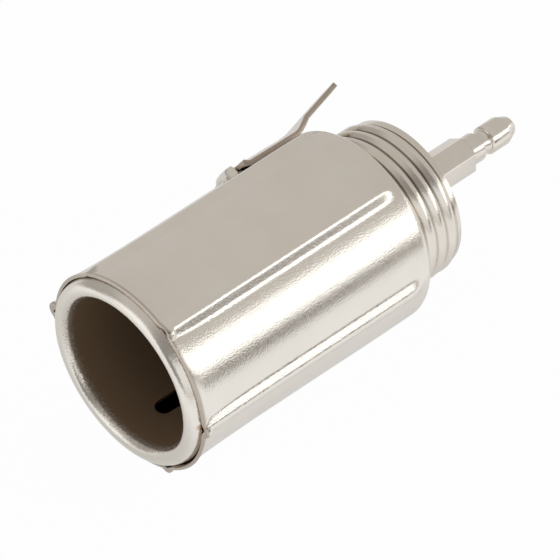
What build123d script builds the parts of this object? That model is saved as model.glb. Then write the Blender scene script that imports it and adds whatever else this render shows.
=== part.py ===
"""Car 12 V power socket: a drawn well, a screwed clamping sleeve, an earth tab and a bullet terminal.

Frame in millimetres: the bore's axis is Y, with the mouth towards -Y and the terminal towards +Y.
The origin is on that axis, in the plane of the lip's edge, where a panel is clamped.
"""
import os
from math import acos, asin, ceil, cos, degrees, floor, pi, radians, sin, tan

from build123d import *

os.makedirs("parts", exist_ok=True)

# Well: a cup drawn from sheet, with a rolled lip
bore_r = 10.5
well_wall = 0.6
lip_roll_r = 1.17
lip_turn = 71.0
lip_skirt = 0.84
neck_front = 33.85
neck_step = 0.65
neck_lip = 0.15
slot_width = 2.4
slot_length = 9.0
slot_front = 4.5
stud_hole_r = 3.3
rim_sink = 0.13
rim_round = 0.25

# Rolled thread: a round section whose centre runs round the axis once in each pitch
thread_pitch = 1.8
thread_sink = 0.37
thread_throw = 0.275
thread_turns = 6.5
thread_steps = 6
thread_gap = 0.3

# Clamping sleeve: pressed from thinner sheet, with six ribs
sheet = 0.45
sleeve_space = 0.795
sleeve_front = -0.28
sleeve_rear = 38.8
sleeve_round = 1.0
rib_count = 6
rib_height = 0.75
rib_top_r = 0.8
rib_foot_r = 1.0
rib_flank = 37.0
rib_end_r = 3.0
rib_end_spare = 0.05
mouth_flare = 0.5
flare_mid_rise = 0.17
flare_mid_y = 3.4
flare_end_sink = 0.07
flare_end_y = 10.0
collar_length = 3.4
collar_wall = 0.7

# Pinched ears at the front ends of the ribs
ear_r = 1.2
ear_wall = 0.42
ear_sink = 0.4
ear_length = 1.25
ear_round = 0.85

# Lanced hood that holds the earth tab
tab_angle = 150.0
hood_front = 26.0
hood_ramp = 1.3
hood_length = 2.7
hood_width = 5.2
hood_round = 0.8
hood_root = 0.7
hood_gap = 0.06

# Earth tab: one strip that rises off the sleeve and is bent outward into a push-on blade
tab_thick = 0.7
tab_seat_gap = 0.1
tongue_cover = 1.4
tongue_width = 3.8
base_gap = 0.4
base_width = 8.0
rise_gap = 0.9
rise_angle = 1.0
bend_at = 36.0
bend_angle = 13.5
bend_r = 2.0
shoulder_1 = 39.0
shoulder_2 = 40.7
waist_width = 7.2
blade_width = 6.3
blade_tip = 46.9
blade_chamfer = 1.2
shoulder_slope = 0.3

# Centre contact, its insulators and the washer
stud_r = 1.7
stud_head_r = 5.5
stud_head = 1.5
stud_dish_r = 3.4
stud_dish = 0.5
stud_head_round = 0.5
stud_tip = 0.3
stud_end = 55.6
flange_r = 7.5
flange = 1.2
bush_gap = 0.1
outer_insulator_r = 7.0
outer_insulator_thick = 1.1
washer_r = 5.0
washer_thick = 0.65
washer_gap = 0.1
washer_hole_gap = 0.3
insulator_hole_gap = 0.1

# Bullet terminal: hexagon, collar, neck and rounded end
hex_across = 4.8
hex_angle = 36.0
hex_length = 9.5
hex_chamfer = 0.25
collar_r = 2.0
terminal_collar = 2.3
neck_r = 1.62
terminal_neck = 1.3
bullet_r = 2.0
bullet_length = 5.1
bullet_round = 1.75
turned_edge = 0.2
terminal_hole_gap = 0.05
terminal_hole_spare = 0.5

# Positions that follow from the sizes above
lip_y = lip_roll_r * cos(radians(lip_turn)) - lip_skirt * sin(radians(lip_turn))
well_r = bore_r + well_wall
thread_r = well_r - thread_sink
rim_r = thread_r - rim_sink
thread_front = neck_front + neck_step
thread_rise = thread_pitch / thread_steps
thread_last = round(thread_turns * thread_steps)
neck_r_in = thread_r - thread_throw - well_wall - neck_lip
floor_front = thread_front + thread_rise * thread_last
well_rear = floor_front + well_wall
insulator_rear = well_rear + outer_insulator_thick
washer_front = insulator_rear + washer_gap
terminal_front = washer_front + washer_thick + washer_gap
collar_front = sleeve_rear - collar_length
neck_out_r = thread_r + thread_throw + thread_gap + collar_wall
sleeve_r = neck_out_r + sleeve_space + sheet
mouth_r = sleeve_r + mouth_flare
ear_at_r = mouth_r - ear_sink
shoulder_y = sleeve_rear - sleeve_round
rib_end_turn = degrees(acos(1 - (rib_height + 2 * rib_end_spare) / rib_end_r))
rib_end_y = shoulder_y - rib_end_spare - rib_end_r * sin(radians(rib_end_turn))
collar_rear = terminal_front + hex_length + terminal_collar
neck_rear = collar_rear + terminal_neck
terminal_rear = neck_rear + bullet_length
flange_front = floor_front - flange
head_front = flange_front - stud_head
dish_sphere_r = (stud_dish_r**2 + stud_dish**2) / (2 * stud_dish)
dish_turn = degrees(asin(stud_dish_r / dish_sphere_r))
strip_mid_r = sleeve_r + tab_seat_gap + tab_thick / 2
hood_level = hood_front + hood_ramp
hood_end = hood_front + hood_length
tongue_front = hood_end - tongue_cover
base_front = hood_end + base_gap
rise_at = hood_end + rise_gap
bend_mid_r = strip_mid_r + (bend_at - rise_at) * tan(radians(rise_angle))
hood_top = sleeve_r + tab_seat_gap + tab_thick + hood_gap + sheet


def across(y):
    """Plane across the axis at y, facing the rear."""
    return Plane(origin=(0, y, 0), x_dir=(1, 0, 0), z_dir=(0, 1, 0))


# Radial plane through the tab's centre line: x runs along the axis, y outward
tab_side = Plane(
    origin=(0, 0, 0),
    x_dir=(0, 1, 0),
    z_dir=(sin(radians(tab_angle)), 0, -cos(radians(tab_angle))),
)
# Plane seen from above the tab: x runs along the axis, y across the strip
tab_above = Plane(
    origin=(0, 0, 0),
    x_dir=(0, 1, 0),
    z_dir=(cos(radians(tab_angle)), 0, sin(radians(tab_angle))),
)


def rolled_core(radius, first, last):
    """Core of the rolled thread from one step of its helix to another, as a loft of equal discs."""
    with BuildPart() as core:
        for index in range(first, last + 1):
            turn = 2 * pi * index / thread_steps
            centre_y = thread_front + thread_rise * index
            centre = (thread_throw * sin(turn), centre_y, thread_throw * cos(turn))
            with BuildSketch(Plane(origin=centre, x_dir=(1, 0, 0), z_dir=(0, 1, 0))):
                Circle(radius)
        loft(ruled=True)
    return core.part


def ribbed_outline(inset):
    """Closed outline of the ribbed sleeve, moved inward by the inset."""
    flank = radians(rib_flank)
    outward = Vector(cos(flank), sin(flank))
    top_at = sleeve_r + rib_height - rib_top_r
    foot_at = sleeve_r + rib_foot_r
    flank_at = top_at * cos(flank) + rib_top_r + rib_foot_r
    foot_angle = flank - acos(flank_at / foot_at)
    foot = Vector(cos(foot_angle), sin(foot_angle)) * foot_at
    top = Vector(top_at, 0)
    flank_high = top + outward * (rib_top_r - inset)
    flank_low = foot - outward * (rib_foot_r + inset)
    foot_mid_angle = (foot_angle + flank) / 2
    foot_mid = foot - Vector(cos(foot_mid_angle), sin(foot_mid_angle)) * (rib_foot_r + inset)
    foot_end = Vector(cos(foot_angle), sin(foot_angle)) * (sleeve_r - inset)
    crown = Vector(sleeve_r + rib_height - inset, 0)
    step = 360 / rib_count
    between = Vector(sleeve_r - inset, 0).rotate(Axis.Z, step / 2)
    for index in range(rib_count):
        turn = index * step
        here = [v.rotate(Axis.Z, turn) for v in (crown, flank_high, flank_low, foot_mid, foot_end, between)]
        next_half = (foot_end, foot_mid, flank_low, flank_high)
        back = [Vector(v.X, -v.Y).rotate(Axis.Z, turn + step) for v in next_half]
        low = Vector(flank_high.X, -flank_high.Y).rotate(Axis.Z, turn)
        ThreePointArc(low, here[0], here[1])
        Line(here[1], here[2])
        ThreePointArc(here[2], here[3], here[4])
        ThreePointArc(here[4], here[5], back[0])
        ThreePointArc(back[0], back[1], back[2])
        Line(back[2], back[3])


def rear_outline(inset):
    """Half outline that rounds off the ribs and the sleeve's rear edge, moved inward by the inset."""
    rib_out_r = sleeve_r + rib_height + rib_end_spare - inset
    rib_end = JernArc((rib_out_r, rib_end_y), (0, 1), rib_end_r - inset, rib_end_turn)
    shoulder_start = (sleeve_r - rib_end_spare - inset, shoulder_y)
    Line(rib_end @ 1, shoulder_start)
    shoulder = JernArc(shoulder_start, (0, 1), sleeve_round - inset, 90)
    front_corner = (rib_out_r, sleeve_front)
    Polyline(shoulder @ 1, (0, sleeve_rear - inset), (0, sleeve_front), front_corner, rib_end @ 0)


def flare_outline(inset):
    """Half outline of the flared mouth, moved inward by the inset."""
    flare = ThreePointArc(
        (mouth_r - inset, sleeve_front),
        (sleeve_r + flare_mid_rise - inset, flare_mid_y),
        (sleeve_r - flare_end_sink - inset, flare_end_y),
    )
    Polyline(flare @ 1, (0, flare_end_y), (0, sleeve_front), flare @ 0)


well_thread = rolled_core(thread_r, 0, thread_last)
well_hollow = rolled_core(thread_r - well_wall, 0, thread_last)
neck_first = floor((collar_front - thread_front) / thread_rise) - 1
neck_last = ceil((sleeve_rear - thread_front) / thread_rise) + 1
sleeve_thread = rolled_core(thread_r + thread_gap, neck_first, neck_last)

# Well: lip, wall and neck turned in one piece, with the rolled thread behind them
with BuildPart() as socket_well:
    with BuildSketch(Plane.XY):
        with BuildLine():
            roll = JernArc((bore_r, lip_y), (0, -1), lip_roll_r, 90 + lip_turn)
            skirt = PolarLine(roll @ 1, lip_skirt, direction=roll % 1)
            inner_roll = JernArc((well_r, lip_y), (0, -1), lip_roll_r - well_wall, 90 + lip_turn)
            inner_skirt = PolarLine(inner_roll @ 1, lip_skirt, direction=inner_roll % 1)
            Line(skirt @ 1, inner_skirt @ 1)
            Polyline(
                inner_roll @ 0,
                (well_r, thread_front + well_wall / 2),
                (neck_r_in, thread_front + well_wall / 2),
                (neck_r_in, neck_front),
                (bore_r, neck_front),
                roll @ 0,
            )
        make_face()
    revolve(axis=Axis.Y)
    add(well_thread)
    add(well_hollow, mode=Mode.SUBTRACT)
    with BuildSketch(across(floor_front)):
        Circle(rim_r)
    extrude(amount=well_wall)
    fillet(socket_well.edges().filter_by(GeomType.CIRCLE).group_by(Axis.Y)[-1], rim_round)
    with BuildSketch(across(floor_front)):
        Circle(stud_hole_r)
    extrude(amount=well_wall, mode=Mode.SUBTRACT)
    with BuildSketch(Plane.XY):
        with Locations((0, slot_front + slot_length / 2)):
            SlotOverall(slot_length, slot_width, rotation=90)
    extrude(amount=well_r, both=True, mode=Mode.SUBTRACT)
socket_well.part.label = "socket_well"
export_step(socket_well.part, "parts/socket_well.step")

# Space inside the sleeve's sheet
with BuildPart() as sleeve_space:
    with BuildSketch(across(sleeve_front)):
        with BuildLine():
            ribbed_outline(sheet)
        make_face()
    extrude(amount=sleeve_rear - sleeve_front)
    with BuildSketch(Plane.XY):
        with BuildLine():
            rear_outline(sheet)
        make_face()
    revolve(axis=Axis.Y, mode=Mode.INTERSECT)
    with BuildSketch(Plane.XY):
        with BuildLine():
            flare_outline(sheet)
        make_face()
    revolve(axis=Axis.Y)

# Ear pressed out of the sleeve's front edge, and its hollow
with BuildPart() as ear:
    with BuildSketch(across(sleeve_front)):
        with PolarLocations(ear_at_r, rib_count):
            Circle(ear_r)
    extrude(amount=ear_length)
    fillet(ear.faces().group_by(Axis.Y)[-1].edges(), ear_round)
with BuildPart() as ear_hollow:
    with BuildSketch(across(sleeve_front)):
        with PolarLocations(ear_at_r, rib_count):
            Circle(ear_r - ear_wall)
    extrude(amount=ear_length - ear_wall)
    fillet(ear_hollow.faces().group_by(Axis.Y)[-1].edges(), ear_round - ear_wall)

# Hood lanced out of the sleeve's wall, and the space under it
with BuildPart() as hood:
    with BuildSketch(tab_side):
        with BuildLine():
            level = Line((hood_end, hood_top), (hood_level, hood_top))
            ramp = TangentArc(level @ 1, (hood_front, sleeve_r - hood_root / 2), tangent=level % 1)
            Polyline(ramp @ 1, (hood_end, sleeve_r - hood_root / 2), level @ 0)
        make_face()
    extrude(amount=hood_width / 2, both=True)
    fillet(hood.faces().filter_by(GeomType.CYLINDER).edges().filter_by(GeomType.CIRCLE), hood_round)
with BuildPart() as hood_space:
    with BuildSketch(tab_side):
        with BuildLine():
            level = Line((hood_end, hood_top - sheet), (hood_level, hood_top - sheet))
            ramp = TangentArc(level @ 1, (hood_front + sheet, sleeve_r - hood_root), tangent=level % 1)
            Polyline(ramp @ 1, (hood_end, sleeve_r - hood_root), level @ 0)
        make_face()
    extrude(amount=hood_width / 2 - sheet, both=True)

# Sleeve: ribbed tube with a rounded rear, a flared mouth, ears, hood and threaded neck
with BuildPart() as clamp_sleeve:
    with BuildSketch(across(sleeve_front)):
        with BuildLine():
            ribbed_outline(0)
        make_face()
    extrude(amount=sleeve_rear - sleeve_front)
    with BuildSketch(Plane.XY):
        with BuildLine():
            rear_outline(0)
        make_face()
    revolve(axis=Axis.Y, mode=Mode.INTERSECT)
    with BuildSketch(Plane.XY):
        with BuildLine():
            flare_outline(0)
        make_face()
    revolve(axis=Axis.Y)
    add(ear.part)
    add(hood.part)
    add(sleeve_space.part, mode=Mode.SUBTRACT)
    add(ear_hollow.part, mode=Mode.SUBTRACT)
    add(hood_space.part, mode=Mode.SUBTRACT)
    with BuildSketch(across(collar_front)):
        Circle(neck_out_r)
    extrude(amount=collar_length)
    add(sleeve_thread, mode=Mode.SUBTRACT)
clamp_sleeve.part.label = "clamp_sleeve"
export_step(clamp_sleeve.part, "parts/clamp_sleeve.step")

# Earth tab: the strip's side view carried across, then cut to its outline from above
with BuildPart() as earth_tab:
    with BuildSketch(tab_side):
        with BuildLine():
            FilletPolyline(
                (tongue_front, strip_mid_r),
                (rise_at, strip_mid_r),
                (bend_at, bend_mid_r),
                (blade_tip, bend_mid_r + (blade_tip - bend_at) * tan(radians(bend_angle))),
                radius=bend_r,
            )
        trace(line_width=tab_thick)
    extrude(amount=base_width, both=True)
    with BuildSketch(tab_above):
        with BuildLine():
            Polyline(
                (tongue_front, 0),
                (tongue_front, tongue_width / 2),
                (base_front, tongue_width / 2),
                (base_front, base_width / 2),
                (shoulder_1, base_width / 2),
                (shoulder_1 + shoulder_slope, waist_width / 2),
                (shoulder_2, waist_width / 2),
                (shoulder_2 + shoulder_slope, blade_width / 2),
                (blade_tip - blade_chamfer, blade_width / 2),
                (blade_tip, blade_width / 2 - blade_chamfer),
                (blade_tip, 0),
            )
            mirror(about=Plane.XZ)
        make_face()
    extrude(amount=2 * sleeve_r, mode=Mode.INTERSECT)
earth_tab.part.label = "earth_tab"
export_step(earth_tab.part, "parts/earth_tab.step")

# Centre contact: dished head inside the cup, shank through its floor
with BuildPart() as contact_stud:
    with BuildSketch(Plane.XY):
        with BuildLine():
            dish = JernArc((0, head_front + stud_dish), (1, 0), dish_sphere_r, -dish_turn)
            Polyline(
                dish @ 1,
                (stud_head_r - stud_head_round, head_front),
                (stud_head_r, head_front + stud_head_round),
                (stud_head_r, flange_front),
                (stud_r, flange_front),
                (stud_r, stud_end - stud_tip),
                (stud_r - stud_tip, stud_end),
                (0, stud_end),
                dish @ 0,
            )
        make_face()
    revolve(axis=Axis.Y)
contact_stud.part.label = "contact_stud"
export_step(contact_stud.part, "parts/contact_stud.step")

# Flanged bush between the stud and the cup
with BuildPart() as inner_insulator:
    with BuildSketch(across(flange_front)):
        Circle(flange_r)
    extrude(amount=flange)
    with BuildSketch(across(floor_front)):
        Circle(stud_hole_r - bush_gap)
    extrude(amount=well_wall)
    with BuildSketch(across(flange_front)):
        Circle(stud_r + insulator_hole_gap)
    extrude(amount=flange + well_wall, mode=Mode.SUBTRACT)
inner_insulator.part.label = "inner_insulator"
export_step(inner_insulator.part, "parts/inner_insulator.step")

# Insulating washer behind the cup
with BuildPart() as outer_insulator:
    with BuildSketch(across(well_rear)):
        Circle(outer_insulator_r)
        Circle(stud_r + insulator_hole_gap, mode=Mode.SUBTRACT)
    extrude(amount=outer_insulator_thick)
outer_insulator.part.label = "outer_insulator"
export_step(outer_insulator.part, "parts/outer_insulator.step")

# Steel washer under the terminal
with BuildPart() as plain_washer:
    with BuildSketch(across(washer_front)):
        Circle(washer_r)
        Circle(stud_r + washer_hole_gap, mode=Mode.SUBTRACT)
    extrude(amount=washer_thick)
plain_washer.part.label = "plain_washer"
export_step(plain_washer.part, "parts/plain_washer.step")

# Terminal: hexagon bar turned down to a collar, a neck and a bullet
with BuildPart() as bullet_terminal:
    with BuildSketch(across(terminal_front)):
        RegularPolygon(hex_across / 2, 6, major_radius=False, rotation=-hex_angle)
    extrude(amount=hex_length)
    chamfer(bullet_terminal.faces().filter_by(Axis.Y).edges(), hex_chamfer)
    with BuildSketch(Plane.XY):
        with BuildLine():
            Polyline(
                (0, terminal_front + hex_length / 2),
                (collar_r, terminal_front + hex_length / 2),
                (collar_r, collar_rear - turned_edge),
                (collar_r - turned_edge, collar_rear),
                (neck_r, collar_rear),
                (neck_r, neck_rear),
                (bullet_r - turned_edge, neck_rear),
                (bullet_r, neck_rear + turned_edge),
                (bullet_r, terminal_rear),
                (0, terminal_rear),
                close=True,
            )
        make_face()
    revolve(axis=Axis.Y)
    fillet(bullet_terminal.faces().sort_by(Axis.Y)[-1].edges(), bullet_round)
    with BuildSketch(across(terminal_front)):
        Circle(stud_r + terminal_hole_gap)
    extrude(amount=stud_end + terminal_hole_spare - terminal_front, mode=Mode.SUBTRACT)
bullet_terminal.part.label = "bullet_terminal"
export_step(bullet_terminal.part, "parts/bullet_terminal.step")
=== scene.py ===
# %% [markdown]
# # A car's 12 V socket in satin nickel
# The imported solids give every place and size. This lesson dresses them: a drawn cup with a rolled
# lip and thread, a ribbed sheet sleeve that screws along it, an earth blade and a bullet terminal.
# We load the frame first and note its box.

# %% Load the frame
from math import acos, atan2, cos, hypot, pi, radians, sin, sqrt

import bmesh
import bpy
from mathutils import Matrix, Vector


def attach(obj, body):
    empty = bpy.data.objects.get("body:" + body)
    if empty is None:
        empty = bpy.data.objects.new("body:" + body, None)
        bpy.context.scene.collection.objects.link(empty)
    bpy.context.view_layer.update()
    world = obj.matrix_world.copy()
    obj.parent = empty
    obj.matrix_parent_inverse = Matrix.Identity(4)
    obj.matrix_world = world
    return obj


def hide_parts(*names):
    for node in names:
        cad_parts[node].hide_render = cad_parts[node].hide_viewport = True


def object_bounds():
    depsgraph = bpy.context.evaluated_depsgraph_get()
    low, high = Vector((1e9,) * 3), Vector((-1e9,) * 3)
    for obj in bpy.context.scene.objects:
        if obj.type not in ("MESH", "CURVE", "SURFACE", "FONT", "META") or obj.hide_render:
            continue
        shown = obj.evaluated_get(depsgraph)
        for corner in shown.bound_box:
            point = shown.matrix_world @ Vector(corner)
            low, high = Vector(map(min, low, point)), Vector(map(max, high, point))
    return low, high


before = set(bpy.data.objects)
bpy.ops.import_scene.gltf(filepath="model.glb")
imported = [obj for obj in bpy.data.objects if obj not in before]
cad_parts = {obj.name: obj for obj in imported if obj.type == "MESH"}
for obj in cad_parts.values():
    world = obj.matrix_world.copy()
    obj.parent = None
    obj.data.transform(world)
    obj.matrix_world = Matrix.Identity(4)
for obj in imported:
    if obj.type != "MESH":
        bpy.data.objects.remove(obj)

cad_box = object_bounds()
mm = 0.001
print("CAD box in mm", [[round(c / mm, 2) for c in corner] for corner in cad_box])

# %% [markdown]
# ## Camera
# The photograph was taken with a long lens from the right, in front and well above. The socket lay
# turned a little about its own axis, so the camera is turned by that angle about Y instead of the
# socket. A camera looks along its own -Z, so its matrix is built from its right, up and back.

# %% Camera
view_azimuth, view_elevation = radians(46.366), radians(43.081)
view_distance = 412.31 * mm
view_lens = 212.14
view_slide = 1.239 * mm
socket_turn = radians(2.7)
aim = Vector((0, 23.42 * mm, 0))

back = Vector((
    sin(view_azimuth) * cos(view_elevation),
    -cos(view_azimuth) * cos(view_elevation),
    sin(view_elevation),
))
right = Vector((cos(view_azimuth), sin(view_azimuth), 0))
up = back.cross(right)
stand = Matrix((right, up, back)).transposed().to_4x4()
stand.translation = aim + back * view_distance + right * view_slide
camera = bpy.data.objects.new("camera", bpy.data.cameras.new("camera"))
camera.data.lens = view_lens
camera.matrix_world = Matrix.Rotation(-socket_turn, 4, "Y") @ stand
bpy.context.scene.collection.objects.link(camera)
bpy.context.scene.camera = camera
bpy.context.scene.view_settings.view_transform = "Standard"
print("camera at mm", [round(c / mm, 1) for c in camera.matrix_world.translation])

# %% [markdown]
# ## Node helpers
# The finishes, the floor and the tent are all small node trees, and the same few steps come up in
# each: a node with plain values, a Map Range, a maths node, a noise, a mix of two colours.

# %% Node helpers
def wire(tree, kind, **values):
    """Add a node and set its plain values by input name."""
    node = tree.nodes.new(kind)
    for name, value in values.items():
        node.inputs[name].default_value = value
    return node


def noise(tree, place, **values):
    """A noise texture that reads the given coordinates."""
    node = wire(tree, "ShaderNodeTexNoise", **values)
    tree.links.new(place, node.inputs["Vector"])
    return node.outputs["Fac"]


def map_range(tree, source, low, high):
    """A Map Range node that makes 0 to 1 of low to high."""
    node = tree.nodes.new("ShaderNodeMapRange")
    node.inputs["From Min"].default_value = low
    node.inputs["From Max"].default_value = high
    tree.links.new(source, node.inputs["Value"])
    return node


def ramp(tree, source, low, high):
    """Turn a value into a soft mask that is 0 at low and 1 at high."""
    node = map_range(tree, source, low, high)
    node.interpolation_type = "SMOOTHSTEP"
    return node.outputs["Result"]


def maths(tree, operation, *sources):
    """A maths node on sockets or plain numbers."""
    node = tree.nodes.new("ShaderNodeMath")
    node.operation = operation
    for socket, source in zip(node.inputs, sources):
        if isinstance(source, (int, float)):
            socket.default_value = source
        else:
            tree.links.new(source, socket)
    return node.outputs["Value"]


def mix_colours(tree, factor, first, second):
    """Mix two colours, each a socket or a plain colour."""
    node = tree.nodes.new("ShaderNodeMix")
    node.data_type = "RGBA"
    tree.links.new(factor, node.inputs["Factor"])
    for name, colour in (("A", first), ("B", second)):
        if isinstance(colour, tuple):
            node.inputs[name].default_value = (*colour, 1)
        else:
            tree.links.new(colour, node.inputs[name])
    return node.outputs["Result"]


def place_in(tree):
    """The Object coordinates, whole and split."""
    place = tree.nodes.new("ShaderNodeTexCoord").outputs["Object"]
    split = tree.nodes.new("ShaderNodeSeparateXYZ")
    tree.links.new(place, split.inputs["Vector"])
    return place, split.outputs


print("node helpers ready")

# %% [markdown]
# ## Plating grain
# Satin nickel over pressed steel is never a mirror. The sheet keeps a sandy grain about a fifth
# of a millimetre across, and the plating varies a little in tone and gloss. All the metal
# shares that grain, so it is one node group: it reads Object coordinates, in metres, and gives
# a tone, a roughness and a bumped normal that each finish then uses in its own way.

# %% Grain group
def make_grain_group():
    """The node group that all the metal shares."""
    tree = bpy.data.node_groups.new("plating_grain", "ShaderNodeTree")
    number, direction = "NodeSocketFloat", "NodeSocketVector"
    for name in ("Peel", "Gloss"):
        tree.interface.new_socket(name, in_out="INPUT", socket_type=number)
    for name, kind in (("Tone", number), ("Roughness", number), ("Normal", direction)):
        tree.interface.new_socket(name, in_out="OUTPUT", socket_type=kind)
    inside = tree.nodes.new("NodeGroupInput")
    outside = tree.nodes.new("NodeGroupOutput")
    place = tree.nodes.new("ShaderNodeTexCoord").outputs["Object"]
    peel = noise(tree, place, Scale=4900, Detail=1.0, Roughness=0.5)
    cloud = noise(tree, place, Scale=140, Detail=4.0, Roughness=0.6)
    tone = map_range(tree, cloud, 0.3, 0.7)
    spread = maths(tree, "MULTIPLY_ADD", peel, 0.12, inside.outputs["Gloss"])
    bump = wire(tree, "ShaderNodeBump", Distance=0.025 * mm)
    link = tree.links.new
    link(peel, bump.inputs["Height"])
    link(inside.outputs["Peel"], bump.inputs["Strength"])
    link(tone.outputs["Result"], outside.inputs["Tone"])
    link(spread, outside.inputs["Roughness"])
    link(bump.outputs["Normal"], outside.inputs["Normal"])
    return tree


grain = make_grain_group()
print("grain group outputs", [s.name for s in grain.interface.items_tree if s.in_out == "OUTPUT"])

# %% [markdown]
# ## Nickel finishes
# Each nickel finish is a metal whose colour drifts between two close tones. The sleeve, blade, thread
# and washer are satin, the turned terminal is smoother and a sheared edge is darker. The sleeve's front
# edge has gone brown, so a soft mask along Y lays a darker colour over it.

# %% Nickel finishes
def nickel(name, pale, dull, peel, gloss):
    """A plated metal: two tones, the strength of its grain and its least roughness."""
    finish = bpy.data.materials.new(name)
    finish.use_nodes = True
    tree = finish.node_tree
    shader = tree.nodes["Principled BSDF"]
    shader.inputs["Metallic"].default_value = 1.0
    grit = tree.nodes.new("ShaderNodeGroup")
    grit.node_tree = grain
    grit.inputs["Peel"].default_value = peel
    grit.inputs["Gloss"].default_value = gloss
    link = tree.links.new
    link(mix_colours(tree, grit.outputs["Tone"], dull, pale), shader.inputs["Base Color"])
    link(grit.outputs["Roughness"], shader.inputs["Roughness"])
    link(grit.outputs["Normal"], shader.inputs["Normal"])
    return finish


def darken(finish, colour, mask):
    """Lay a darker colour over a finish where the mask is 1."""
    tree = finish.node_tree
    base = tree.nodes["Principled BSDF"].inputs["Base Color"]
    tree.links.new(mix_colours(tree, mask, base.links[0].from_socket, colour), base)


sheet_tones = (0.80, 0.765, 0.71), (0.77, 0.73, 0.665)
plate_tones = (0.79, 0.75, 0.69), (0.74, 0.69, 0.62)
sleeve_nickel = nickel("sleeve_nickel", *sheet_tones, 0.8, 0.09)
blade_nickel = nickel("blade_nickel", (0.78, 0.74, 0.68), (0.74, 0.69, 0.62), 0.6, 0.14)
cut_edge = nickel("cut_edge", (0.52, 0.45, 0.385), (0.40, 0.335, 0.275), 1.0, 0.3)
thread_nickel = nickel("thread_nickel", *plate_tones, 0.5, 0.08)
washer_nickel = nickel("washer_nickel", *plate_tones, 0.5, 0.12)
terminal_nickel = nickel("terminal_nickel", (0.80, 0.76, 0.70), (0.76, 0.71, 0.64), 0.4, 0.08)

edge_tree, edge_brown, edge_strength = sleeve_nickel.node_tree, (0.40, 0.335, 0.28), 0.75
edge_mask = ramp(edge_tree, place_in(edge_tree)[1]["Y"], 0.25 * mm, -0.2 * mm)
darken(sleeve_nickel, edge_brown, maths(edge_tree, "MULTIPLY", edge_mask, edge_strength))
print("finishes", [m.name for m in bpy.data.materials if m.name.endswith(("nickel", "edge"))])

# %% [markdown]
# ## Profile pen
# Turned and pressed work is drawn as a profile first. A single vertex is the pen: extruding it
# draws a straight stroke and spinning it draws an arc, so no curve is ever worked out point by
# point. Everything is drawn in millimetres and scaled to metres once, when the piece is finished.

# %% Profile pen
class Pen:
    """One vertex that draws a chain of edges."""

    def __init__(self, bm, start, axis):
        self.bm, self.axis = bm, axis
        self.tip = bm.verts.new(start)

    def line(self, end, steps=1):
        """Draw a straight stroke to a point."""
        stride = (Vector(end) - self.tip.co) / steps
        for _ in range(steps):
            self.tip = bmesh.ops.extrude_vert_indiv(self.bm, verts=[self.tip])["verts"][0]
            bmesh.ops.translate(self.bm, vec=stride, verts=[self.tip])

    def turn(self, centre, angle, steps):
        """Draw an arc about a centre."""
        spun = bmesh.ops.spin(
            self.bm, geom=[self.tip], cent=centre, axis=self.axis, angle=angle, steps=steps
        )
        self.tip = next(g for g in spun["geom_last"] if isinstance(g, bmesh.types.BMVert))


def profile_pen(bm, radius, y):
    """A pen for half a section, drawn as radius and Y."""
    return Pen(bm, (radius, y, 0), (0, 0, 1))


def lathe(bm, columns):
    """Spin the drawn profile once round the bore's axis."""
    bmesh.ops.spin(
        bm, geom=bm.verts[:] + bm.edges[:], cent=(0, 0, 0), axis=(0, 1, 0),
        angle=2 * pi, steps=columns, use_merge=True,
    )
    bmesh.ops.remove_doubles(bm, verts=bm.verts, dist=0.001)


def stack_rings(bm, count):
    """Extrude the drawn ring into a stack of rings 1 mm apart, and return the last one."""
    ring = bm.edges[:]
    for _ in range(count - 1):
        grown = bmesh.ops.extrude_edge_only(bm, edges=ring)["geom"]
        verts = [g for g in grown if isinstance(g, bmesh.types.BMVert)]
        fresh = set(verts)
        ring = [g for g in grown if isinstance(g, bmesh.types.BMEdge) and fresh.issuperset(g.verts)]
        bmesh.ops.translate(bm, vec=(0, 1, 0), verts=verts)
    return ring


def face_sheet(bm, low, high, outward):
    """Turn a sheet's faces away from the axis or toward it, judged by one face between two heights."""
    bmesh.ops.recalc_face_normals(bm, faces=bm.faces)
    sample = next(f for f in bm.faces if low < f.calc_center_median().y < high)
    looks_out = sample.normal.dot(sample.calc_center_median() * Vector((1, 0, 1))) > 0
    if looks_out != outward:
        bmesh.ops.reverse_faces(bm, faces=bm.faces)


def ease(value, start, end):
    """A soft step: 0 at start, 1 at end."""
    share = min(max((value - start) / (end - start), 0), 1)
    return share * share * (3 - 2 * share)


print("pen, lathe and ring stack ready")


# %% Finishing steps
def finish_piece(name, bm, body, finishes, node):
    """Scale the bmesh to metres and make it a smooth piece that stands for a CAD node."""
    bmesh.ops.scale(bm, vec=(mm, mm, mm), verts=bm.verts)
    mesh = bpy.data.meshes.new(name)
    bm.to_mesh(mesh)
    bm.free()
    mesh.shade_smooth()
    for finish in finishes:
        mesh.materials.append(finish)
    piece = bpy.data.objects.new(name, mesh)
    bpy.context.scene.collection.objects.link(piece)
    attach(piece, body)
    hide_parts(node)
    print(name, len(mesh.vertices), "vertices", len(mesh.polygons), "faces")
    return piece


def give_wall(piece, thickness, offset=-1.0, far_side=0, rim=0):
    """Give a sheet its thickness behind its faces."""
    wall = piece.modifiers.new("wall", "SOLIDIFY")
    wall.thickness = thickness * mm
    wall.offset = offset
    wall.use_even_offset = True
    wall.material_offset = far_side
    wall.material_offset_rim = rim


def break_edges(piece, width, angle=40, finish=-1):
    """Round off the sharp edges a little, so that they catch the light."""
    rounding = piece.modifiers.new("edges", "BEVEL")
    rounding.width = width * mm
    rounding.segments = 2
    rounding.material = finish
    rounding.limit_method = "ANGLE"
    rounding.angle_limit = radians(angle)


print("piece, wall and edge steps ready")

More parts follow.
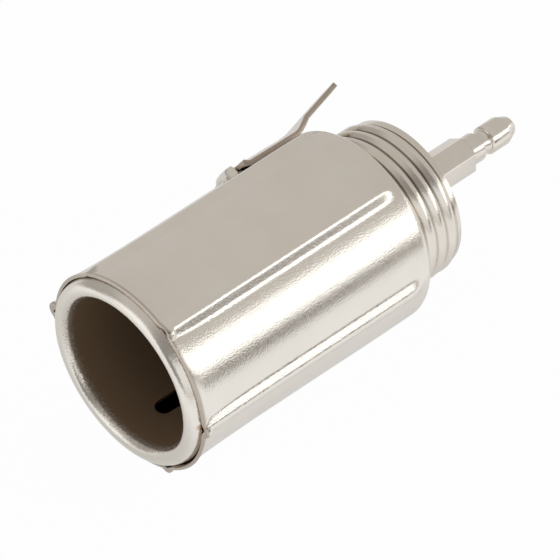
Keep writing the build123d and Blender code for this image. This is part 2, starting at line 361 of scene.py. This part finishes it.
# %% [markdown]
# ## Sleeve
# The sleeve is one pressing of thin sheet: six ribs stiffen it, the mouth is flared with a pinched
# ear at the end of each rib, a lanced hood holds the earth blade, and the rear is rolled in to a neck
# that is threaded on the cup. We draw one ribbed ring with the pen, extrude it row by row from the
# mouth to the neck, and then press each row to its form. The sheet gets its thickness last.

# %% Ribbed ring
sleeve_r, rib_count, rib_height = 13.25, 6, 0.75
rib_top_r, rib_foot_r, rib_flank = 1.1, 1.8, radians(34)
rib_turn = radians(2)
tab_angle = radians(150)


def out(angle, radius):
    """A point at a radius from the axis; the angle runs from X toward Z."""
    return Vector((cos(angle) * radius, 0, sin(angle) * radius))


top_at = sleeve_r + rib_height - rib_top_r
foot_at = sleeve_r + rib_foot_r
foot_half = rib_flank - acos((top_at * cos(rib_flank) + rib_top_r + rib_foot_r) / foot_at)
rib_step = 2 * pi / rib_count
# Degrees from the middle of the hood, and the steps that lead there.
hood_marks = ((-11.2, 5), (-5.4, 13), (5.4, 12), (11.2, 13))

sheet_bm = bmesh.new()
ring_pen = Pen(sheet_bm, out(rib_turn, top_at) + out(rib_turn - rib_flank, rib_top_r), (0, -1, 0))
for rib in range(rib_count):
    here, there = rib * rib_step + rib_turn, (rib + 1) * rib_step + rib_turn
    ring_pen.turn(out(here, top_at), 2 * rib_flank, 12)
    ring_pen.line(out(here + foot_half, foot_at) - out(here + rib_flank, rib_foot_r), 2)
    ring_pen.turn(out(here + foot_half, foot_at), foot_half - rib_flank, 7)
    along, land_end = here + foot_half, there - foot_half
    marks = [(tab_angle + radians(m), n) for m, n in hood_marks] if along < tab_angle < land_end else []
    for mark, steps in marks + [(land_end, 12)]:
        ring_pen.turn((0, 0, 0), mark - along, steps)
        along = mark
    ring_pen.turn(out(there - foot_half, foot_at), foot_half - rib_flank, 7)
    ring_pen.line(out(there, top_at) + out(there - rib_flank, rib_top_r), 2)
bmesh.ops.remove_doubles(sheet_bm, verts=sheet_bm.verts, dist=0.002)
print("ring of", len(sheet_bm.verts), "vertices, rib half width", round(foot_half * sleeve_r, 2), "mm")

# %% Rows from the mouth to the neck
mouth_y, hood_end, rear_y, rear_round = -0.28, 27.5, 38.8, 1.0
thread_start, thread_pitch, thread_throw = 34.05, 1.8, 0.275
neck_bore, neck_inset, neck_stride, neck_rows = 11.03, 0.1, 0.165, 21
mouth_rows = [
    mouth_y, -0.27, -0.25, -0.21, -0.12, 0.04, 0.22, 0.38, 0.54, 0.68, 0.8, 0.9,
    1.0, 1.12, 1.3, 1.6, 2.1, 2.8, 3.8, 5.2, 7.0, 8.8, 10.4,
]
hood_rows = [
    24.9, 25.5, 25.8, 25.95, 26.04, 26.12, 26.2, 26.3, 26.42, 26.56,
    26.72, 26.9, 27.1, 27.3, hood_end,
]
rear_rows = [
    hood_end, 28.4, 29.8, 32.0, 33.0, 33.6, 34.2, 34.8, 35.2, 35.6, 35.9,
    36.2, 36.5, 36.8, 37.05, 37.3, 37.5, 37.65, 37.8,
]
rows = [("tube", y) for y in mouth_rows]
rows += [("hood", y) for y in hood_rows]
rows += [("tube", y) for y in rear_rows]
rows += [("shoulder", radians(a)) for a in (15, 30, 45, 60, 75, 90)]
rows += [("wall", r) for r in (0.5, 0.14)]
rows += [("neck", rear_y - neck_inset - neck_stride * step) for step in range(neck_rows)]
stack_rings(sheet_bm, len(rows))
print(len(rows), "rows,", len(sheet_bm.faces), "faces")

# %% Forms of the mouth
flare_sink, flare_rise, flare_reach = 0.07, 0.27, 10.28
edge_rise, edge_sway, edge_low, edge_reach = 0.19, 0.11, radians(155), 1.5
# The radius at which each ear is centred, and the radius of its fold.
ears = [(13.2, 1.05), (13.15, 1.0), (12.6, 1.0), (13.65, 1.25), (13.35, 1.2), (13.3, 1.15)]
ear_y, ear_behind, ear_ahead = 0.3, 0.66, 0.58
dent_rib, dent_r, dent_half, dent_y, dent_reach = 2, 13.55, 1.7, 0.1, 1.1


def flare_radius(angle, y):
    """The flared mouth: most of it in the last millimetre, and least on the upper left."""
    share = min(max((y - mouth_y) / flare_reach, 0), 1)
    edge = min(max((y - mouth_y) / edge_reach, 0), 1)
    curl = edge_rise - edge_sway * cos(angle - edge_low)
    return sleeve_r - flare_sink + flare_rise * (1 - share) ** 2 + curl * (1 - edge) ** 2


def ear_radius(angle, y):
    """A pinched ear: a round lump where a rib's front end was folded shut."""
    rib = round(angle / rib_step)
    off = angle - rib * rib_step
    centre, fold = ears[rib % rib_count]
    drop = ((y - ear_y) / ear_behind) ** 2 if y > ear_y else ((ear_y - y) / ear_ahead) ** 8
    fold *= sqrt(max(1 - drop, 0))
    across = centre * sin(off)
    if abs(across) >= fold:
        return 0
    return centre * cos(off) + sqrt(fold * fold - across * across)


def pressed_in(angle, y):
    """How far the top rib's front end was knocked in: 1 at the edge, 0 behind it."""
    off = (angle - dent_rib * rib_step) * sleeve_r
    return max(1 - (off / dent_half) ** 2, 0) * max(1 - max(y - dent_y, 0) / dent_reach, 0) ** 2


print("flare at the edge", round(flare_radius(0, mouth_y), 2), "mm, ears", len(ears))

# %% Forms of the body
body_swell, swell_start, swell_end = 0.25, 12, 34
rib_fade_start, rib_fade_end = 34.7, 37.9
nose_y, nose_r, hood_top = 26.9, 0.9, 14.69
hood_start, hood_foot, hood_flat = 25.4, 2.5, 1.35


def soft_max(a, b, blend):
    """The larger of two radii, with a rounded corner where they meet."""
    meet = max(blend - abs(a - b), 0) / blend
    return max(a, b) + meet * meet * blend / 4


def helix(y):
    """Where the thread's section is centred at this y."""
    turn = 2 * pi * (y - thread_start) / thread_pitch
    return Vector((sin(turn), 0, cos(turn))) * thread_throw


def body_radius(y):
    """The sleeve widens a little to the rear."""
    return sleeve_r + body_swell * ease(y, swell_start, swell_end)


def rib_share(y):
    """How much of a rib's height is left: the ribs run out softly to the rear."""
    return ease(y, rib_fade_end, rib_fade_start)


def hood_height(y):
    """Radius of the hood's top: a round nose, then level."""
    back_off = max(nose_y - y, 0)
    return hood_top - nose_r + sqrt(max(nose_r**2 - back_off**2, 0))


print("body radius at the rear", round(body_radius(rear_y), 2), "mm")

# %% Press the rows to their form
# How widely the forms melt into each other where they meet.
flare_blend, ear_blend, hood_blend = 0.12, 0.1, 0.25
sheet, sheet_rounding = 0.45, 0.07


def press(row, angle, rib_r):
    """The place of a ring's vertex once its row is pressed."""
    kind, value = row
    if kind == "shoulder":
        place = out(angle, body_radius(rear_y) - rear_round + cos(value) * rear_round)
        return place + Vector((0, rear_y - rear_round + sin(value) * rear_round, 0))
    if kind == "wall":
        return out(angle, neck_bore + value) + helix(rear_y) * (1 - value) + Vector((0, rear_y, 0))
    if kind == "neck":
        return out(angle, neck_bore) + helix(value) + Vector((0, value, 0))
    radius = body_radius(value) + (rib_r - sleeve_r) * rib_share(value)
    radius = soft_max(radius, flare_radius(angle, value), flare_blend)
    radius = soft_max(radius, ear_radius(angle, value), ear_blend)
    radius += (dent_r - radius) * pressed_in(angle, value)
    if kind == "hood" and value > hood_start and cos(angle - tab_angle) > 0.5:
        across = abs(radius * sin(angle - tab_angle))
        lift = soft_max(radius, hood_height(value), hood_blend) - radius
        radius += lift * ease(across, hood_foot, hood_flat)
    return out(angle, radius) + Vector((0, value, 0))


for vert in sheet_bm.verts:
    row = rows[round(vert.co.y)]
    vert.co = press(row, atan2(vert.co.z, vert.co.x), hypot(vert.co.x, vert.co.z))
at_slit = [f for f in sheet_bm.faces if all(abs(v.co.y - hood_end) < 1e-4 for v in f.verts)]
slit = [f for f in at_slit if f.calc_area() > 1e-5]
bmesh.ops.delete(sheet_bm, geom=slit, context="FACES_ONLY")
bmesh.ops.remove_doubles(sheet_bm, verts=sheet_bm.verts, dist=0.002)
face_sheet(sheet_bm, 12, 22, outward=True)
print("slit of", len(slit), "faces opened under the hood")
sleeve = finish_piece("pressed_sleeve", sheet_bm, "sleeve", [sleeve_nickel], "clamp_sleeve")
give_wall(sleeve, sheet)
break_edges(sleeve, sheet_rounding, angle=50)

# %% [markdown]
# ## Cup
# The cup is drawn from thicker sheet. Its lip is rolled outward, two slots are cut through its wall,
# and its rear end carries a rolled thread: the wall stays round, but its centre runs round the
# axis once in each pitch. So the profile is spun first, and then each thread row is moved sideways.

# %% Cup finish
def cup_finish():
    """Bright rolled lip that turns into the dull, dark inside of the cup."""
    finish = nickel("cup_nickel", *sheet_tones, 0.8, 0.1)
    tree = finish.node_tree
    shader = tree.nodes["Principled BSDF"]
    shader.inputs["Specular IOR Level"].default_value = 0.08
    link = tree.links.new
    place, split = place_in(tree)

    def near(point, inner, outer):
        node = tree.nodes.new("ShaderNodeVectorMath")
        node.operation = "DISTANCE"
        node.inputs[1].default_value = point
        link(place, node.inputs[0])
        return ramp(tree, node.outputs["Value"], outer * mm, inner * mm)

    sand = noise(tree, place, Scale=4200, Detail=1.0)
    ragged = maths(tree, "MULTIPLY_ADD", sand, 1.7 * mm, split["Y"])
    z_squared = maths(tree, "MULTIPLY", split["Z"], split["Z"])
    squared = maths(tree, "MULTIPLY_ADD", split["X"], split["X"], z_squared)
    bore = ramp(tree, maths(tree, "SQRT", squared), 11.6 * mm, 11.2 * mm)
    depth = maths(tree, "MULTIPLY", ramp(tree, ragged, -0.55 * mm, 1.0 * mm), bore)
    rust_spot = out(radians(3), 12.95 * mm) + Vector((0, -0.3 * mm, 0))
    dark_pit = out(radians(-85), 12.2 * mm) + Vector((0, -1.45 * mm, 0))
    dull_brown, rust, soot = (0.205, 0.14, 0.086), (0.45, 0.29, 0.17), (0.10, 0.07, 0.05)
    darken(finish, dull_brown, depth)
    darken(finish, rust, near(rust_spot, 0.1, 0.75))
    darken(finish, soot, near(dark_pit, 0.05, 0.2))
    link(maths(tree, "SUBTRACT", 1.0, depth), shader.inputs["Metallic"])
    satin = shader.inputs["Roughness"].links[0].from_socket
    link(maths(tree, "MULTIPLY_ADD", depth, 0.4, satin), shader.inputs["Roughness"])
    return finish


def shade_in_roots(finish):
    """Darken the thread's roots with painted shade: the places that face away from where the thread's centre
    has run, more on the upper side.
    """
    tree = finish.node_tree
    split = place_in(tree)[1]
    along = maths(tree, "SUBTRACT", split["Y"], thread_start * mm)
    turn = maths(tree, "MULTIPLY", along, 2 * pi / (thread_pitch * mm))
    across = maths(tree, "MULTIPLY", maths(tree, "SINE", turn), split["X"])
    crest = maths(tree, "MULTIPLY_ADD", maths(tree, "COSINE", turn), split["Z"], across)
    root = ramp(tree, crest, -8.4 * mm, -10.6 * mm)
    root = maths(tree, "MULTIPLY", root, ramp(tree, split["Y"], 34.6 * mm, 35.4 * mm))
    upper = maths(tree, "MULTIPLY_ADD", split["X"], -0.82, maths(tree, "MULTIPLY", split["Z"], 0.57))
    share = maths(tree, "MULTIPLY_ADD", ramp(tree, upper, -5 * mm, 2 * mm), 0.6, 0.3)
    # painted shade: a dark brown laid into the thread's roots for the shade in its valleys, stronger on the
    # upper side
    root_shade = (0.17, 0.125, 0.09)
    darken(finish, root_shade, maths(tree, "MULTIPLY", root, share))


shade_in_roots(thread_nickel)
cup_nickel = cup_finish()
print("cup finish ready")

# %% Cup profile
bore_r, lip_roll, lip_turn, lip_skirt, lip_y = 10.5, 1.17, radians(71), 0.84, -0.4128
stud_hole_r, floor_r, floor_y, thread_r = 3.3, 10.0, 46.2, 10.13
thread_in, thread_out = (34.5, 35.4), (46.0, 45.2)
strokes = (
    (floor_r, floor_y, 6), (floor_r, 45.9, 2), (thread_r, 45.4, 3), (thread_r, 34.9, 70),
    (bore_r, 33.9, 5), (bore_r, 14.0, 8), (bore_r, 4.0, 30), (bore_r, lip_y, 6),
)
cup_bm = bmesh.new()
pen = profile_pen(cup_bm, stud_hole_r, floor_y)
for radius, y, steps in strokes:
    pen.line((radius, y, 0), steps)
pen.turn((bore_r + lip_roll, lip_y, 0), pi / 2 + lip_turn, 26)
heading = Vector((cos(lip_turn), sin(lip_turn), 0))
pen.line(pen.tip.co + heading * lip_skirt, 5)
lathe(cup_bm, 192)
print("cup sheet", len(cup_bm.faces), "faces, lip edge at", [round(c, 2) for c in pen.tip.co])


# %% Thread and slots
def thread_share(y):
    """How much of the thread is there: it runs in and out over about a millimetre."""
    return ease(y, *thread_in) * ease(y, *thread_out)


for vert in cup_bm.verts:
    if hypot(vert.co.x, vert.co.z) > 9:
        vert.co += helix(vert.co.y) * thread_share(vert.co.y)

slot_half, slot_ends, slot_reach = 1.2, (5.7, 12.3), 0.4
cup_sheet, cup_rounding = 0.6, 0.08


def slot_gap(place):
    """Signed distance from the slot's rounded outline, and the nearest point of its middle line."""
    middle = min(max(place.y, slot_ends[0]), slot_ends[1])
    return hypot(place.x, place.y - middle) - slot_half, middle


in_slot = [f for f in cup_bm.faces if slot_gap(f.calc_center_median())[0] < 0]
bmesh.ops.delete(cup_bm, geom=in_slot, context="FACES")
for edge in [e for e in cup_bm.edges if e.is_boundary]:
    for vert in edge.verts:
        gap, middle = slot_gap(vert.co)
        if abs(gap) < slot_reach:
            away = Vector((vert.co.x, vert.co.y - middle)).normalized() * slot_half
            depth = sqrt(bore_r**2 - away.x**2)
            vert.co = (away.x, middle + away.y, depth if vert.co.z > 0 else -depth)
face_sheet(cup_bm, 20, 30, outward=False)
print(len(in_slot), "faces cut for two slots")
cup = finish_piece("drawn_cup", cup_bm, "well", [cup_nickel, thread_nickel], "socket_well")
give_wall(cup, cup_sheet, far_side=1, rim=1)
break_edges(cup, cup_rounding, angle=50, finish=1)

# %% [markdown]
# ## Earth blade
# The blade is cut from flat strip: a narrow tongue goes under the hood, and the wide part ends in
# a push-on blade that is bent outward. We draw half of its outline, mirror and fill it, and cut it into
# strips. It springs up a little behind the hood and leans to one side, and what lies beyond each bend
# is turned.

# %% Earth blade
strip_start, strip_r, strip_lift, strip_lean = 26.85, 13.87, 0.1, 0.16
bend_rows, bend_turn = (36.2, 36.8, 37.4, 38.0, 38.6), radians(2.84)
spring_rows, lean_rows = (27.5, 28.6), (39.5, 36.5)
strip, strip_rounding = 0.7, 0.09
half = [
    (1.3, strip_start), (1.3, 27.7), (4.4, 27.7), (4.4, 39.0), (4.1, 39.3), (3.5, 39.3),
    (3.5, 39.7), (3.15, 39.9), (3.15, 45.3), (1.95, 47.5), (0, 47.5),
]
blade_bm = bmesh.new()
pen = Pen(blade_bm, (0, strip_start, 0), (0, 0, 1))
for across, along in half:
    pen.line((across, along, 0))
bmesh.ops.mirror(blade_bm, geom=blade_bm.verts[:] + blade_bm.edges[:], axis="X", merge_dist=0.001)
bmesh.ops.contextual_create(blade_bm, geom=blade_bm.edges[:])
cuts = [((0, y, 0), (0, 1, 0)) for y in (28.15, 28.4, 28.65, 32.0, 39.55) + bend_rows]
cuts += [((x * 0.5, 0, 0), (1, 0, 0)) for x in range(-8, 9)]
for place, normal in cuts:
    bmesh.ops.bisect_plane(
        blade_bm, geom=blade_bm.verts[:] + blade_bm.edges[:] + blade_bm.faces[:],
        plane_co=place, plane_no=normal, dist=1e-5,
    )
print("strip cut into", len(blade_bm.faces), "faces")

# %% Spring, lean and bends
for vert in blade_bm.verts:
    lift = ease(vert.co.y, *spring_rows)
    lean = lift * ease(vert.co.y, *lean_rows)
    vert.co.z += strip_lift * lift - strip_lean * lean * vert.co.x
for row in reversed(bend_rows):
    bmesh.ops.rotate(
        blade_bm, verts=[v for v in blade_bm.verts if v.co.y > row + 1e-4], cent=(0, row, 0),
        matrix=Matrix.Rotation(bend_turn, 3, "X"),
    )
bmesh.ops.translate(blade_bm, vec=(0, 0, strip_r), verts=blade_bm.verts)
to_tab = Matrix.Rotation(pi / 2 - tab_angle, 3, "Y")
bmesh.ops.rotate(blade_bm, verts=blade_bm.verts, cent=(0, 0, 0), matrix=to_tab)
bmesh.ops.recalc_face_normals(blade_bm, faces=blade_bm.faces)
blade = finish_piece("earth_blade", blade_bm, "sleeve", [blade_nickel, cut_edge], "earth_tab")
give_wall(blade, strip, offset=0.0, rim=1)
break_edges(blade, strip_rounding)

# %% [markdown]
# ## Bullet terminal
# The terminal is turned from hexagon bar. Rounding the bar's corners with short arcs gives a ring that
# can be pressed to a circle for the turned rows, so one chain of extrusions makes the whole piece.

# %% Bullet terminal
hex_flat, corner_r, hex_turn, bar_rounding = 2.4, 0.16, radians(6), 0.05
bar_bm = bmesh.new()
corner_at = (hex_flat - corner_r) / cos(pi / 6)
pen = Pen(bar_bm, out(hex_turn + pi / 6, corner_at) + out(hex_turn, corner_r), (0, -1, 0))
for side in range(6):
    normal = hex_turn + side * pi / 3
    pen.turn(out(normal + pi / 6, corner_at), pi / 3, 4)
    pen.line(out(normal + pi / 2, corner_at) + out(normal + pi / 3, corner_r), 7)
bmesh.ops.remove_doubles(bar_bm, verts=bar_bm.verts, dist=0.002)
print("hexagon ring of", len(bar_bm.verts), "vertices")

# %% Rows of the terminal
shank_hole_r, bullet_y, bullet_r, bullet_flat = 1.75, 65.93, 1.02, 0.5
neck_profile = (
    (58.25, 2.0), (60.35, 2.0), (60.55, 1.8), (60.55, 1.62), (61.85, 1.62),
    (61.85, 1.8), (62.05, 2.0), (64.9, 2.0), (65.1, 1.95),
)
bar_rows = [("round", y, shank_hole_r) for y in (56.1, 48.75)]
bar_rows += [("bar", y, size) for y, size in ((48.75, 0.9), (49.0, 1.0), (58.0, 1.0), (58.25, 0.9))]
bar_rows += [("round", y, radius) for y, radius in neck_profile]
for slope in map(radians, range(25, 91, 13)):
    bar_rows.append(("round", bullet_y + bullet_r * sin(slope), bullet_flat + bullet_r * cos(slope)))
first = bar_bm.edges[:]
for loop in (first, stack_rings(bar_bm, len(bar_rows))):
    bmesh.ops.edgeloop_fill(bar_bm, edges=loop)
for vert in bar_bm.verts:
    kind, y, size = bar_rows[round(vert.co.y)]
    flat = Vector((vert.co.x, 0, vert.co.z))
    vert.co = (flat * size if kind == "bar" else flat.normalized() * size) + Vector((0, y, 0))
bmesh.ops.recalc_face_normals(bar_bm, faces=bar_bm.faces)
terminal = finish_piece(
    "turned_terminal", bar_bm, "well", [terminal_nickel], "bullet_terminal"
)
break_edges(terminal, bar_rounding, angle=25)

# %% [markdown]
# ## Centre contact, insulators and washer
# Behind the mouth a dished head waits for the plug's tip. Fibre keeps it off the cup, and a
# plain washer spreads the terminal's load. All are turned or stamped rings, so the pen and one spin do.

# %% Fibre finish
def fibre_finish():
    """Pressed fibre: dark and pale flecks and a rough skin."""
    finish = bpy.data.materials.new("pressed_fibre")
    finish.use_nodes = True
    tree = finish.node_tree
    shader = tree.nodes["Principled BSDF"]
    shader.inputs["Roughness"].default_value = 0.75
    place = tree.nodes.new("ShaderNodeTexCoord").outputs["Object"]
    flecks = noise(tree, place, Scale=2500, Detail=3.0, Roughness=0.6)
    tint = mix_colours(tree, flecks, (0.16, 0.065, 0.04), (0.38, 0.18, 0.115))
    bump = wire(tree, "ShaderNodeBump", Strength=0.4, Distance=0.03 * mm)
    link = tree.links.new
    link(flecks, bump.inputs["Height"])
    link(tint, shader.inputs["Base Color"])
    link(bump.outputs["Normal"], shader.inputs["Normal"])
    return finish


fibre = fibre_finish()
print("fibre finish ready")


# %% Turned pieces
def turned_piece(name, profile, body, finish, node, closed=True):
    """Draw a profile, spin it and finish the piece."""
    bm = bmesh.new()
    pen = profile_pen(bm, *profile[0])
    for radius, y in profile[1:] + (profile[:1] if closed else []):
        pen.line((radius, y, 0))
    lathe(bm, 96)
    bmesh.ops.recalc_face_normals(bm, faces=bm.faces)
    break_edges(finish_piece(name, bm, body, [finish], node), 0.08)


stud_profile = [
    (0, 44.0), (1.2, 43.94), (2.3, 43.77), (3.4, 43.5), (5.0, 43.5), (5.35, 43.65), (5.5, 44.0),
    (5.5, 45.0), (1.7, 45.0), (1.7, 55.3), (1.4, 55.6), (0, 55.6),
]
bush_profile = [(1.8, 45.0), (7.5, 45.0), (7.5, 46.2), (3.2, 46.2), (3.2, 46.8), (1.8, 46.8)]
plate_profile = [(1.8, 46.8), (7.0, 46.8), (7.0, 47.9), (1.8, 47.9)]
washer_profile = [(2.0, 48.0), (5.0, 48.0), (5.0, 48.65), (2.0, 48.65)]
turned_piece(
    "contact_head", stud_profile, "well", terminal_nickel, "contact_stud", closed=False
)
turned_piece("fibre_bush", bush_profile, "well", fibre, "inner_insulator")
turned_piece("fibre_plate", plate_profile, "well", fibre, "outer_insulator")
turned_piece("stamped_washer", washer_profile, "washer", washer_nickel, "plain_washer")

# %% [markdown]
# ## Floor and studio light
# The socket lies on a small white sheet in a white tent. Metal is only as good as what it mirrors, so
# the world is the tent: a dull roof, a bright panel low on the right, and a dark gap under that panel
# where the sheet ends. The camera itself sees plain white, as the photograph does.

# %% Floor
sheet_r, sheet_middle, sheet_z = 160 * mm, 25 * mm, cad_box[0][2]
floor_bm = bmesh.new()
bmesh.ops.create_circle(floor_bm, cap_ends=True, radius=sheet_r, segments=96)
bmesh.ops.translate(floor_bm, vec=(0, sheet_middle, sheet_z), verts=floor_bm.verts)
floor_mesh = bpy.data.meshes.new("white_sheet")
floor_bm.to_mesh(floor_mesh)
floor_bm.free()
floor = bpy.data.objects.new("white_sheet", floor_mesh)
bpy.context.scene.collection.objects.link(floor)
print("sheet at z", round(sheet_z / mm, 2), "mm")

# %% White paper
camera_white, shaded, open_white = 0.975, 0.48, 1.08
shade_start, shade_end = 10 * mm, 32 * mm
paper = bpy.data.materials.new("white_paper")
paper.use_nodes = True
tree = paper.node_tree
shader = tree.nodes["Principled BSDF"]
shader.inputs["Base Color"].default_value = (0.9, 0.9, 0.9, 1)
shader.inputs["Roughness"].default_value = 0.9
glow = wire(tree, "ShaderNodeEmission", Strength=1.0)
ray = tree.nodes.new("ShaderNodeLightPath").outputs
split = place_in(tree)[1]
# painted shade and light: in reflections the paper glows dimmer beside the socket and brighter away from it
clear = maths(tree, "MAXIMUM", split["X"], maths(tree, "MULTIPLY", split["Y"], -1.0))
lit = map_range(tree, clear, shade_start, shade_end)
lit.inputs["To Min"].default_value = shaded
lit.inputs["To Max"].default_value = open_white
seen_white = maths(tree, "MULTIPLY", ray["Is Camera Ray"], camera_white)
mirrored = maths(tree, "MULTIPLY_ADD", ray["Is Glossy Ray"], lit.outputs["Result"], seen_white)
blend = tree.nodes.new("ShaderNodeMixShader")
link = tree.links.new
link(mirrored, blend.inputs["Fac"])
link(shader.outputs["BSDF"], blend.inputs[1])
link(glow.outputs["Emission"], blend.inputs[2])
link(blend.outputs["Shader"], tree.nodes["Material Output"].inputs["Surface"])
floor_mesh.materials.append(paper)
print("paper mirrors", shaded, "beside the socket and", open_white, "away from it")

# %% Tent
world = bpy.data.worlds.new("white_tent")
bpy.context.scene.world = world
world.use_nodes = True
tree = world.node_tree
link = tree.links.new
split = tree.nodes.new("ShaderNodeSeparateXYZ")
link(tree.nodes.new("ShaderNodeTexCoord").outputs["Generated"], split.inputs["Vector"])
round_axis = maths(tree, "ARCTAN2", split.outputs["Z"], split.outputs["X"])
turn = map_range(tree, round_axis, -pi, pi)


def panels(stops):
    """A wall of the tent: grey values by the angle round the socket's axis."""
    node = tree.nodes.new("ShaderNodeValToRGB")
    wall = node.color_ramp
    while len(wall.elements) < len(stops):
        wall.elements.new(0.5)
    for element, (angle, grey) in zip(wall.elements, stops):
        element.position = (angle + 180) / 360
        warm = 0.05 if grey < 0.9 else 0
        element.color = (grey * (1 + warm), grey, grey * (1 - warm), 1)
    link(turn.outputs["Result"], node.inputs["Fac"])
    return node.outputs["Color"]


def behind(front, rear, start, end):
    """Fade from one wall to the next along the axis."""
    along = map_range(tree, split.outputs["Y"], start, end)
    return mix_colours(tree, along.outputs["Result"], front, rear)


def panel_stops(roof, gap):
    """A wall with a bright panel low on the right and a gap under it."""
    return [
        (-180, roof), (-100, 0.97), (-10, 0.97), (-4, gap), (7, gap),
        (11, 1.6), (38, 1.6), (41, roof), (180, roof),
    ]


end_stops = [(-180, 1.2), (-115, 1.1), (-85, 0.6), (-30, 0.32), (60, 0.3), (85, 0.5), (100, 1.1), (180, 1.2)]
front_stops = [
    (-180, 0.45), (-120, 0.65), (-10, 0.65), (12, 0.95), (32, 0.95), (44, 0.3), (64, 0.32),
    (88, 0.57), (125, 0.6), (145, 0.45), (180, 0.42),
]
walls = behind(panels(end_stops), panels(front_stops), -0.85, -0.65)
walls = behind(walls, panels(panel_stops(0.63, 0.2)), 0.2, 0.4)
walls = behind(walls, panels(panel_stops(0.59, 0.55)), 0.46, 0.53)
ray = tree.nodes.new("ShaderNodeLightPath").outputs
seen = mix_colours(tree, ray["Is Camera Ray"], walls, (1, 1, 1))
link(seen, tree.nodes["Background"].inputs["Color"])
print("tent walls with", len(end_stops), len(front_stops), "and twice", len(panel_stops(0, 0)), "stops")
